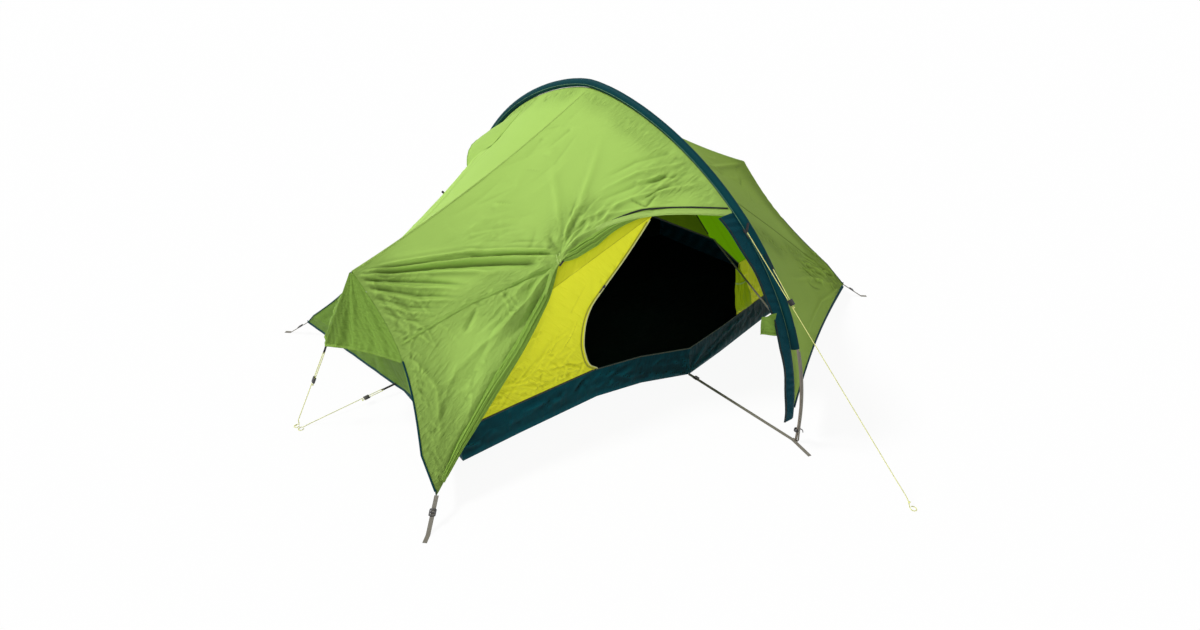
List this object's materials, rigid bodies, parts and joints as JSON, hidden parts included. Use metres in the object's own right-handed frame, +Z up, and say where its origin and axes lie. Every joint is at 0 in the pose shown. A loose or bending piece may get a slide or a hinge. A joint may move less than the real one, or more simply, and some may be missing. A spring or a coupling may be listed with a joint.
{
  "type": "backpacking tent",
  "caption": "Pitched one-arch backpacking tent with an inner tent, short end struts, a porch door rolled and tied back, an open inner door, pegging straps and guylines.",
  "frame": {"origin": "on the ground under the middle of the arch pole", "axes": "X runs along the tent from its left end to its right end as seen from the door, Y runs across it away from the porch door, which faces -Y, and Z is up"},
  "size_m": [2.7777, 3.0653, 1.157],
  "materials": {
    "green_nylon": "thin coated ripstop cloth, slightly glossy",
    "teal_nylon": "dark coated cloth, satin",
    "yellow_nylon": "thin uncoated cloth, matt",
    "grey_webbing": "woven tape, matt",
    "black_webbing": "woven tape, matt",
    "anodised_tube": "satin anodised",
    "dark_plastic": "matt moulded",
    "pale_cord": "braided cord, matt"
  },
  "bodies": {
    "tent": {"arch_sleeve": "teal_nylon", "base_guyline": "pale_cord", "base_tab_left": "black_webbing", "base_tab_right": "black_webbing", "corner_front_left_strap": "grey_webbing", "corner_front_right_strap": "grey_webbing", "corner_rear_left_strap": "grey_webbing", "corner_rear_right_strap": "grey_webbing", "door_roll": "green_nylon", "door_tie_loop": "green_nylon", "end_guyline": "pale_cord", "end_strut_left": "anodised_tube", "end_strut_right": "anodised_tube", "floor_front_strap": "grey_webbing", "floor_rear_strap": "grey_webbing", "fly_end_wall_left": "green_nylon", "fly_end_wall_right": "green_nylon", "fly_front_left": "green_nylon", "fly_front_right": "green_nylon", "fly_hood_left": "green_nylon", "fly_hood_right": "green_nylon", "fly_rear_left": "green_nylon", "fly_rear_right": "green_nylon", "foot_strap_front": "grey_webbing", "foot_strap_rear": "grey_webbing", "front_guyline": "pale_cord", "front_guyline_branch": "pale_cord", "inner_door_roll": "yellow_nylon", "inner_hanger": "black_webbing", "inner_roof": "yellow_nylon", "inner_tub": "teal_nylon", "inner_wall_left": "yellow_nylon", "inner_wall_right": "yellow_nylon", "pole_section_1": "anodised_tube", "pole_section_2": "anodised_tube", "pole_section_3": "anodised_tube", "pole_section_4": "anodised_tube", "pole_section_5": "anodised_tube", "pole_section_6": "anodised_tube", "pole_section_7": "anodised_tube", "pole_section_8": "anodised_tube", "sleeve_tab_lower": "black_webbing", "sleeve_tab_upper": "black_webbing", "tension_band": "grey_webbing", "tip_tab_left": "black_webbing", "tip_tab_right": "black_webbing", "vent_hood": "green_nylon", "zip_flap": "teal_nylon"},
    "corner_front_left_buckle": {"corner_front_left_buckle": "dark_plastic"},
    "corner_front_right_buckle": {"corner_front_right_buckle": "dark_plastic"},
    "corner_rear_left_buckle": {"corner_rear_left_buckle": "dark_plastic"},
    "corner_rear_right_buckle": {"corner_rear_right_buckle": "dark_plastic"},
    "floor_front_buckle": {"floor_front_buckle": "dark_plastic"},
    "floor_rear_buckle": {"floor_rear_buckle": "dark_plastic"},
    "door_toggle": {"door_toggle": "dark_plastic"},
    "zip_slider_outer": {"zip_slider_outer": "dark_plastic"},
    "zip_slider_inner": {"zip_slider_inner": "dark_plastic"},
    "front_guyline_runner": {"front_guyline_runner": "dark_plastic"},
    "end_guyline_runner": {"end_guyline_runner": "dark_plastic"},
    "base_guyline_runner": {"base_guyline_runner": "dark_plastic"}
  },
  "joints": [
    {"name": "corner_front_left_buckle_tilt", "type": "hinge", "parent": "tent", "child": "corner_front_left_buckle", "pos_m": [-1.2344, -0.7424, 0.04498], "axis": [-0.7071, 0.7071, 0], "range_deg": [0, 40]},
    {"name": "corner_front_right_buckle_tilt", "type": "hinge", "parent": "tent", "child": "corner_front_right_buckle", "pos_m": [1.2344, -0.7424, 0.04498], "axis": [-0.7071, -0.7071, 0], "range_deg": [0, 40]},
    {"name": "corner_rear_left_buckle_tilt", "type": "hinge", "parent": "tent", "child": "corner_rear_left_buckle", "pos_m": [-1.2344, 0.7424, 0.04498], "axis": [0.7071, 0.7071, 0], "range_deg": [0, 40]},
    {"name": "corner_rear_right_buckle_tilt", "type": "hinge", "parent": "tent", "child": "corner_rear_right_buckle", "pos_m": [1.2344, 0.7424, 0.04498], "axis": [0.7071, -0.7071, 0], "range_deg": [0, 40]},
    {"name": "floor_front_buckle_tilt", "type": "hinge", "parent": "tent", "child": "floor_front_buckle", "pos_m": [-0.00022, -0.7358, 0.0037], "axis": [-1, 0.0073, 0], "range_deg": [0, 40]},
    {"name": "floor_rear_buckle_tilt", "type": "hinge", "parent": "tent", "child": "floor_rear_buckle", "pos_m": [-0.00022, 0.7358, 0.0037], "axis": [1, 0.0073, 0], "range_deg": [0, 40]},
    {"name": "door_toggle_turn", "type": "hinge", "parent": "tent", "child": "door_toggle", "pos_m": [-0.51772, -0.48743, 0.61547], "axis": [0.188, -0.9785, -0.0844], "range_deg": [-40, 40]},
    {"name": "porch_zip_run", "type": "hinge", "parent": "tent", "child": "zip_slider_outer", "pos_m": [-0.026, -0.18208, -0.06334], "axis": [1, 0, 0], "range_deg": [0, 12.5]},
    {"name": "inner_zip_run", "type": "slide", "parent": "tent", "child": "zip_slider_inner", "axis": [0.6046, -0.1404, 0.7841], "range_m": [0, 0.27]},
    {"name": "front_guyline_runner_slide", "type": "slide", "parent": "tent", "child": "front_guyline_runner", "axis": [0.061, -0.7052, -0.7064], "range_m": [-0.03, 0]},
    {"name": "end_guyline_runner_slide", "type": "slide", "parent": "tent", "child": "end_guyline_runner", "axis": [-0.4843, 0.0724, -0.8719], "range_m": [-0.06, 0]},
    {"name": "base_guyline_runner_slide", "type": "slide", "parent": "tent", "child": "base_guyline_runner", "axis": [-0.9962, -0.0121, -0.0862], "range_m": [-0.03, 0]}
  ]
}
